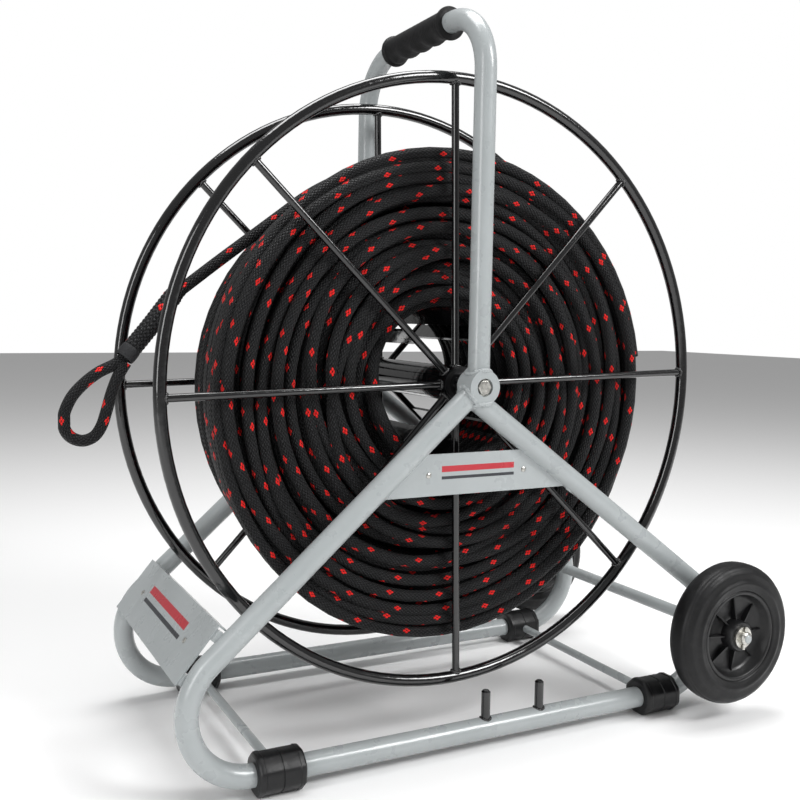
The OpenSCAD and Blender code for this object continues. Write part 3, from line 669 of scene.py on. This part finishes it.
def rim_ribs(name, at, body):
    """Eight thin ribs between the hub and the dish, on both faces."""
    shape = bmesh.new()
    top, thick = 0.0095, 0.0012
    for side in (-1, 1):
        outline = [(wheel_hub_r - 0.001, 0.002), (barrel_r - 0.0015, 0.002),
                   (barrel_r - 0.0015, top * 0.7), (barrel_r - 0.010, top * 0.82),
                   (wheel_hub_r - 0.001, top + 0.004)]
        faces = [[shape.verts.new((r, side * y, z * thick)) for r, y in outline] for z in (-1, 1)]
        shape.faces.new(faces[0])
        shape.faces.new(faces[1])
        for k in range(len(outline)):
            j = (k + 1) % len(outline)
            shape.faces.new((faces[0][k], faces[0][j], faces[1][j], faces[1][k]))
    bmesh.ops.recalc_face_normals(shape, faces=shape.faces)
    mesh = bpy.data.meshes.new(name + "_one")
    shape.to_mesh(mesh)
    shape.free()
    drawn = bpy.data.objects.new(name + "_one", mesh)
    bpy.context.collection.objects.link(drawn)
    modifier = drawn.modifiers.new("ribs", "NODES")
    modifier.node_group = evenly_round
    set_input(modifier, "Count", 8)
    set_input(modifier, "Finish", plastic)
    piece = plain_mesh(drawn, name)
    piece.data.transform(Matrix.Translation(at))
    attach(piece, body)
    return piece


for body, side in (("left_wheel", -1), ("right_wheel", 1)):
    at = Vector((wheel_at.x, side * abs(wheel_at.y), wheel_at.z))
    tyre = bmesh.new()
    turned(tyre, tyre_profile, at, 1, 128)
    bmesh.ops.remove_doubles(tyre, verts=tyre.verts, dist=1e-6)
    bmesh.ops.recalc_face_normals(tyre, faces=tyre.faces)
    finished(body + "_solid_tyre", tyre, rubber, "tyre_rubber", body, body + "_tyre")
    rim = bmesh.new()
    turned(rim, rim_profile, at, 1, 96)
    turned(rim, rim_profile, at, -1, 96)
    bmesh.ops.remove_doubles(rim, verts=rim.verts, dist=1e-6)
    bmesh.ops.recalc_face_normals(rim, faces=rim.faces)
    dish = finished(body + "_dished_rim", rim, plastic, "black_plastic", body, body + "_rim")
    dish.data.set_sharp_from_angle(angle=math.radians(50))
    rim_ribs(body + "_rim_ribs", at, body)


# ---- Wound rope ----------------------------------------------------------------
# About 195 m of 16 mm plaited rope, black with red tracer flecks, wound on by hand in wandering
# turns, layer over layer. It is one continuous rope, and its weight makes the outer layers sag.

def plaited_rope(name="rope_braid"):
    """Black plaits with twin red flecks, their black painted lighter on the plait tops as painted highlight
    and darker in the crevices between plaits as painted shade.
    The pattern follows the rope: U goes round it once, and V is the length along it in metres."""
    plaits, plait_length = 12, 0.0065
    material, tree, shader = new_material(name)
    new, link = tree.nodes.new, tree.links.new
    shader.inputs["Specular IOR Level"].default_value = 0.2

    def sum_of(kind, first, second=0.0, third=0.0):
        node = new("ShaderNodeMath")
        node.operation = kind
        for socket, value in zip(node.inputs, (first, second, third)):
            if isinstance(value, bpy.types.NodeSocket):
                link(value, socket)
            else:
                socket.default_value = value
        return node.outputs[0]

    lay = new("ShaderNodeUVMap")
    lay.uv_map = "braid"
    split = new("ShaderNodeSeparateXYZ")
    link(lay.outputs["UV"], split.inputs["Vector"])
    around = sum_of("MULTIPLY", split.outputs["X"], plaits)
    along = sum_of("DIVIDE", split.outputs["Y"], plait_length)
    right, left = sum_of("ADD", around, along), sum_of("SUBTRACT", around, along)
    right_cell, left_cell = sum_of("FLOOR", right), sum_of("FLOOR", left)
    p = sum_of("SUBTRACT", sum_of("FRACT", right), 0.5)
    q = sum_of("SUBTRACT", sum_of("FRACT", left), 0.5)
    # Strands of the two hands lie on top in turn, so that each shows as a slanted oval.
    top = sum_of("MODULO", sum_of("ADD", right_cell, left_cell), 2)
    top = sum_of("ABSOLUTE", top)
    flat_p = sum_of("MULTIPLY", sum_of("MULTIPLY", p, p), sum_of("MULTIPLY_ADD", top, 2.6, 2.2))
    flat_q = sum_of("MULTIPLY", sum_of("MULTIPLY", q, q), sum_of("MULTIPLY_ADD", top, -2.6, 4.8))
    height = sum_of("SUBTRACT", 1, sum_of("ADD", flat_p, flat_q))
    height = sum_of("MAXIMUM", height, 0)
    number = sum_of("MULTIPLY_ADD", sum_of("FLOORED_MODULO", right_cell, 12), 6,
                    sum_of("FLOORED_MODULO", left_cell, 6))
    fleck = 0.0
    for cell in (0, 1, 6, 7):
        hit = new("ShaderNodeMath")
        hit.operation = "COMPARE"
        hit.inputs[1].default_value = cell
        hit.inputs[2].default_value = 0.4
        link(number, hit.inputs[0])
        fleck = sum_of("ADD", hit.outputs[0], fleck)
    fleck = sum_of("MULTIPLY", fleck, between(tree, height, 0.0, 0.12, 0, 1))
    fibre = between(tree, spots(tree, 0.0011, 3, 0.7), 0.35, 0.7, 0, 1)
    # Painted highlight and painted shade: the black is lighter on the tops of the plaits, broken up by the
    # fibre noise, and near black in the crevices between them.
    black = mixed(tree, sum_of("MULTIPLY", between(tree, height, 0.2, 0.95, 0, 1), fibre),
                  (0.0008, 0.0008, 0.0010), (0.036, 0.037, 0.040))
    red = mixed(tree, fibre, (0.62, 0.006, 0.005), (0.92, 0.020, 0.016))
    link(mixed(tree, fleck, black, red), shader.inputs["Base Color"])
    link(between(tree, fibre, 0, 1, 0.42, 0.62), shader.inputs["Roughness"])
    shader.inputs["Sheen Weight"].default_value = 0.03
    shader.inputs["Sheen Roughness"].default_value = 0.5
    relief(tree, shader, height, 0.0014)
    return material


braid = plaited_rope()


def rope_tree():
    """A tube along each route, with the lay of the rope stored as a UV map."""
    tree = bpy.data.node_groups.new("laid_rope", "GeometryNodeTree")
    for kind, name in (("Geometry", "Route"), ("Float", "Thickness"), ("Int", "Sides"),
                       ("Material", "Finish")):
        add_input(tree, kind, name)
    tree.interface.new_socket("Rope", in_out="OUTPUT", socket_type="NodeSocketGeometry")
    new, link = tree.nodes.new, tree.links.new
    given, made = new("NodeGroupInput"), new("NodeGroupOutput")

    def stored(geometry, value, name, kind="FLOAT", domain="POINT"):
        node = new("GeometryNodeStoreNamedAttribute")
        node.data_type, node.domain = kind, domain
        node.inputs["Name"].default_value = name
        link(geometry, node.inputs["Geometry"])
        link(value, node.inputs["Value"])
        return node.outputs["Geometry"]

    def named(name):
        node = new("GeometryNodeInputNamedAttribute")
        node.data_type = "FLOAT"
        node.inputs["Name"].default_value = name
        return node.outputs["Attribute"]

    half, points = new("ShaderNodeMath"), new("ShaderNodeMath")
    half.operation, points.operation = "MULTIPLY", "ADD"
    half.inputs[1].default_value, points.inputs[1].default_value = 0.5, 1
    outline = new("GeometryNodeCurveArc")
    outline.inputs["Sweep Angle"].default_value = math.tau
    link(given.outputs["Thickness"], half.inputs[0])
    link(given.outputs["Sides"], points.inputs[0])
    link(half.outputs[0], outline.inputs["Radius"])
    link(points.outputs[0], outline.inputs["Resolution"])
    outline_place, route_place = new("GeometryNodeSplineParameter"), new("GeometryNodeSplineParameter")
    ring = stored(outline.outputs["Curve"], outline_place.outputs["Factor"], "around")
    line = stored(given.outputs["Route"], route_place.outputs["Length"], "along")
    tube = new("GeometryNodeCurveToMesh")
    tube.inputs["Fill Caps"].default_value = True
    if "Scale" in tube.inputs:
        swell = new("GeometryNodeInputRadius")
        link(swell.outputs["Radius"], tube.inputs["Scale"])
    link(line, tube.inputs["Curve"])
    link(ring, tube.inputs["Profile Curve"])
    lay = new("ShaderNodeCombineXYZ")
    link(named("around"), lay.inputs["X"])
    link(named("along"), lay.inputs["Y"])
    mapped = stored(tube.outputs["Mesh"], lay.outputs["Vector"], "braid", "FLOAT2", "CORNER")
    joined = new("GeometryNodeMergeByDistance")
    joined.inputs["Distance"].default_value = 0.00002
    smooth, real = new("GeometryNodeSetShadeSmooth"), new("GeometryNodeRealizeInstances")
    finish = new("GeometryNodeSetMaterial")
    link(mapped, joined.inputs["Geometry"])
    link(joined.outputs["Geometry"], smooth.inputs["Geometry"])
    link(smooth.outputs["Geometry"], real.inputs["Geometry"])
    link(real.outputs["Geometry"], finish.inputs["Geometry"])
    link(given.outputs["Finish"], finish.inputs["Material"])
    link(finish.outputs["Geometry"], made.inputs["Rope"])
    return tree


laid_rope = rope_tree()
rope_d = 0.016


def rope_piece(name, route, thickness, material, sides, body, swell=None):
    """A rope along a route. swell is how much thicker or thinner it is at each point."""
    drawn = route_object(name + "_line", [route], swell)
    modifier = drawn.modifiers.new("rope", "NODES")
    modifier.node_group = laid_rope
    set_input(modifier, "Thickness", thickness)
    set_input(modifier, "Sides", sides)
    set_input(modifier, "Finish", material)
    piece = plain_mesh(drawn, name)
    for spare in ("around", "along"):
        if spare in piece.data.attributes:
            piece.data.attributes.remove(piece.data.attributes[spare])
    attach(piece, body)
    return piece


wound_low, wound_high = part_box("rope_winding")
wound_half = (wound_high.y - wound_low.y) / 2
wound_r = (wound_high.x - wound_low.x) / 2
sag = hub.z - (wound_high.z + wound_low.z) / 2
core_r = 0.103
wound_taper = 0.036
layer_pitch, first_column, column_pitch, columns = 0.0165, -0.0948, 0.0164, 12
last_turn_y = middle("rope_last_turn").y
last_turn_r = (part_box("rope_last_turn")[1].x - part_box("rope_last_turn")[0].x) / 2 - rope_d / 2
groove_floor = last_turn_r - rope_d / 2 - 0.0003
beside_groove = 0.0163
# How far a turn wanders sideways, in and out among the others, and in the first and last layers.
sway, loose_inside, loose_outside = 0.0055, 0.0085, 0.0022


def wound_edge(turn, y):
    """The winding's outer radius at an angle and a place across the drum, from the drum axle."""
    radius = wound_r - wound_taper * (y + wound_half) / (2 * wound_half)
    return -sag * math.sin(turn) + math.sqrt(radius ** 2 - (sag * math.cos(turn)) ** 2)


def layers_at(y):
    """How many layers lie on the core there: more at the left flange than at the right."""
    return round((wound_edge(0, y) - core_r - rope_d) / layer_pitch) + 1


def wander(seed, slowest, fastest):
    """A smooth irregular curve between about -1 and 1, of the number of turns."""
    dice = random.Random(seed)
    waves = [(dice.uniform(slowest, fastest), dice.uniform(0, math.tau)) for _ in range(7)]
    return lambda turns: sum(math.sin(rate * math.tau * turns + phase) for rate, phase in waves) / 3.2


def wound_lanes():
    """Layer and place across the drum for each turn, to and fro from the core outwards."""
    lanes = []
    for layer in range(layers_at(-wound_half)):
        shift = column_pitch / 2 if layer % 2 else 0
        row = [first_column + shift + column_pitch * k for k in range(columns)]
        row = [y for y in row if layer < layers_at(y)]
        widest = core_r + rope_d + (wound_r + sag - core_r - rope_d) * layer / (layers_at(last_turn_y) - 1)
        if widest > groove_floor:
            row = [y for y in row if abs(y - last_turn_y) > beside_groove]
        lanes += [(layer, y) for y in (reversed(row) if layer % 2 else row)]
    return lanes


def eased(share):
    share = min(1, max(0, share))
    return share * share * (3 - 2 * share)


def winding_route():
    """Each turn keeps to its lane, then steps over to the next one, as a hand lays it."""
    steps = 60
    dice = random.Random(11)
    radial, sideways = wander(5, 0.35, 2.6), wander(9, 0.3, 1.9)
    limit = wound_half - rope_d / 2
    lanes, route = wound_lanes(), []
    for place, (layer, lane) in enumerate(lanes):
        next_layer, next_lane = lanes[min(place + 1, len(lanes) - 1)]
        step_at = dice.uniform(0.1, 0.75)
        low, high = layer / (layers_at(lane) - 1), next_layer / (layers_at(next_lane) - 1)
        for k in range(steps):
            share = k / steps
            angle = -math.tau * share
            over = eased((share - step_at) / 0.2)
            y = lane + (next_lane - lane) * over + sway * sideways(place + share)
            y = max(-limit, min(limit, y))
            inner, outer = core_r + rope_d / 2, wound_edge(angle, y) - rope_d / 2
            radius = inner + (outer - inner) * (low + (high - low) * over)
            loose = loose_inside if 0 < layer < layers_at(lane) - 1 else loose_outside
            radius = max(inner, min(outer, radius + loose * radial(place + share)))
            if radius + rope_d / 2 > groove_floor:
                if abs(next_lane - lane) < 2 * column_pitch - 0.001 or not 0 < over < 1:
                    if abs(y - last_turn_y) < beside_groove:
                        y = last_turn_y + math.copysign(beside_groove, lane - last_turn_y)
                else:
                    under = eased((beside_groove - abs(y - last_turn_y)) / 0.006)
                    radius += (min(radius, groove_floor - rope_d / 2) - radius) * under
            route.append(on_drum(angle, radius, y))
    return route, len(lanes)


winding, turn_count = winding_route()
wound_length = sum((b - a).length for a, b in zip(winding, winding[1:]))
print("wound turns", turn_count, "wound length", round(wound_length, 1))
half_way = len(winding) // 2
rope_piece("rope_inner_turns", winding[:half_way + 1], rope_d, braid, 8, "drum")
outer_turns = rope_piece("rope_outer_turns", winding[half_way:], rope_d, braid, 8, "drum")
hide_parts("rope_winding")

# The last turn lies in the groove between its neighbours. Its start dives under the free end.
leave_angle = math.radians(127)
last_sweep, dive_sweep, dive_depth = math.radians(345), math.radians(45), 0.016
last_turn = []
for k in range(171):
    back = last_sweep * k / 170
    dive = eased((back - last_sweep + dive_sweep) / dive_sweep)
    last_turn.append(on_drum(leave_angle - back, last_turn_r - dive_depth * dive, last_turn_y))
last_piece = rope_piece("rope_top_turn", last_turn, rope_d, braid, 12, "stand")
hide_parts("rope_last_turn")


# ---- Free end of the rope --------------------------------------------------------
# The end comes off the drum over the top, runs out through the ring and is spliced back on
# itself: a swollen, ribbed splice, a black whipping at the throat and a soft eye.

def spun(points, spacing):
    """A smooth curve through the points, with a point every spacing metres."""
    path = [Vector(p) for p in points]
    padded = [2 * path[0] - path[1], *path, 2 * path[-1] - path[-2]]
    dense = []
    for i in range(1, len(padded) - 2):
        a, b, c, d = padded[i - 1:i + 3]
        pieces = max(2, round((c - b).length / spacing))
        for k in range(pieces):
            t = k / pieces
            dense.append(0.5 * (2 * b + (c - a) * t + (2 * a - 5 * b + 4 * c - d) * t * t
                                + (3 * b - a - 3 * c + d) * t ** 3))
    dense.append(path[-1])
    return dense


leave_point = on_drum(leave_angle, last_turn_r, last_turn_y)
lead_route = [
    leave_point, (-0.240, 0.020, 0.702), (-0.262, 0.020, 0.6855), (-0.284, 0.020, 0.669),
    (-0.306, 0.020, 0.6525), (-0.332, 0.020, 0.633), (-0.358, 0.020, 0.613), (-0.379, 0.019, 0.597)]
splice_route = [
    (-0.379, 0.019, 0.597), (-0.3895, 0.0185, 0.589), (-0.404, 0.017, 0.571), (-0.420, 0.014, 0.551),
    (-0.434, 0.013, 0.534), (-0.445, 0.012, 0.521)]
binding_route = [(-0.445, 0.012, 0.521), (-0.456, 0.011, 0.508)]
eye_route = [
    (-0.452, 0.012, 0.511), (-0.467, 0.014, 0.500), (-0.487, 0.015, 0.490), (-0.505, 0.016, 0.476),
    (-0.520, 0.016, 0.459), (-0.529, 0.016, 0.438), (-0.529, 0.015, 0.422), (-0.521, 0.014, 0.410),
    (-0.507, 0.013, 0.405), (-0.493, 0.012, 0.410), (-0.484, 0.011, 0.423), (-0.478, 0.010, 0.442),
    (-0.472, 0.009, 0.464), (-0.464, 0.009, 0.485), (-0.454, 0.010, 0.502)]

lead_line = spun(lead_route + splice_route[1:] + binding_route[1:], 0.006)
free_lead = rope_piece("rope_free_lead", lead_line, rope_d, braid, 16, "stand")
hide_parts("rope_lead")

splice_line = spun(splice_route, 0.0006)
count = len(splice_line)
ribs = []
for i in range(count):
    share = i / (count - 1)
    full = 1.0 + 0.5 * min(1, share / 0.16)
    ribs.append(full * (0.97 + 0.07 * abs(math.sin(math.pi * share * 18))))
splice = rope_piece("rope_spliced_part", splice_line, rope_d, braid, 24, "stand", ribs)
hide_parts("rope_splice")


def whipping_twine():
    material, tree, shader = new_material("whipping_twine")
    shader.inputs["Specular IOR Level"].default_value = 0.2
    tree.links.new(mixed(tree, spots(tree, 0.0012, 3), (0.008, 0.008, 0.009), (0.035, 0.036, 0.038)),
                   shader.inputs["Base Color"])
    shader.inputs["Roughness"].default_value = 0.55
    relief(tree, shader, spots(tree, 0.0011, 3), 0.0003)
    return material


binding_line = spun([Vector(binding_route[0]).lerp(Vector(binding_route[1]), t) for t in (0, 0.5, 1)], 0.0003)
count = len(binding_line)
winds = [0.86 + 0.14 * math.sin(math.pi * i / (count - 1)) ** 0.3 for i in range(count)]
whipping = rope_piece("rope_whipping", binding_line, 0.0258, whipping_twine(), 32, "stand", winds)
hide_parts("rope_binding")

eye_d = rope_d * 0.94
eye_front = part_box("rope_eye")[0].x + eye_d / 2
eye_line = [Vector((max(p.x, eye_front), p.y, p.z)) for p in spun(eye_route, 0.003)]
eye = rope_piece("rope_soft_eye", eye_line, eye_d, braid, 16, "stand")
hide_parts("rope_eye")


# ---- Studio --------------------------------------------------------------------
# A plain pale floor, broad soft lights, and a camera a little above the drum's axle.

floor_mesh = bpy.data.meshes.new("floor")
reach = 12
floor_mesh.from_pydata([(-reach, -reach, 0), (reach, -reach, 0), (reach, reach, 0), (-reach, reach, 0)],
                       [], [(0, 1, 2, 3)])
floor = bpy.data.objects.new("floor", floor_mesh)
bpy.context.collection.objects.link(floor)
floor_finish, tree, shader = new_material("pale_floor")
shader.inputs["Base Color"].default_value = (0.92, 0.92, 0.92, 1)
shader.inputs["Roughness"].default_value = 0.8
floor_mesh.materials.append(floor_finish)

world = bpy.data.worlds.new("studio")
bpy.context.scene.world = world
world.use_nodes = True
world.node_tree.nodes["Background"].inputs["Color"].default_value = (1, 1, 1, 1)
rays, glow = (world.node_tree.nodes.new(kind) for kind in ("ShaderNodeLightPath", "ShaderNodeMapRange"))
glow.inputs["To Min"].default_value, glow.inputs["To Max"].default_value = 0.34, 1.0
world.node_tree.links.new(rays.outputs["Is Camera Ray"], glow.inputs["Value"])
world.node_tree.links.new(glow.outputs["Result"], world.node_tree.nodes["Background"].inputs["Strength"])


def soft_light(name, at, width, height, power):
    light = bpy.data.lights.new(name, "AREA")
    light.shape, light.size, light.size_y, light.energy = "RECTANGLE", width, height, power
    lamp = bpy.data.objects.new(name, light)
    lamp.location = at
    lamp.rotation_euler = (Vector((0, 0, 0.45)) - Vector(at)).to_track_quat("-Z", "Y").to_euler()
    bpy.context.collection.objects.link(lamp)


soft_light("key", (1.6, -2.2, 2.4), 1.2, 1.2, 80)
soft_light("fill", (-2.4, -1.2, 1.2), 0.8, 2.0, 26)
soft_light("top", (0, 0.2, 3.0), 2.2, 1.2, 65)

bpy.context.scene.view_settings.view_transform = "Standard"

lens = bpy.data.cameras.new("camera")
lens.lens, lens.sensor_width = 42.48, 36
lens.shift_x, lens.shift_y = 0.0744, -0.0344
camera = bpy.data.objects.new("camera", lens)
bpy.context.collection.objects.link(camera)
away = Vector((-0.4243, -0.9035, 0.0606)).normalized()
level = Vector((math.cos(math.radians(-25.15)), math.sin(math.radians(-25.15)), 0))
upward = away.cross(level)
roll = math.radians(0.83)
right = level * math.cos(roll) + upward * math.sin(roll)
up = upward * math.cos(roll) - level * math.sin(roll)
camera.matrix_world = Matrix.Translation(hub + Vector((-0.673, -1.1818, 0.089))) @ Matrix(
    (right, up, away)).transposed().to_4x4()
bpy.context.scene.camera = camera
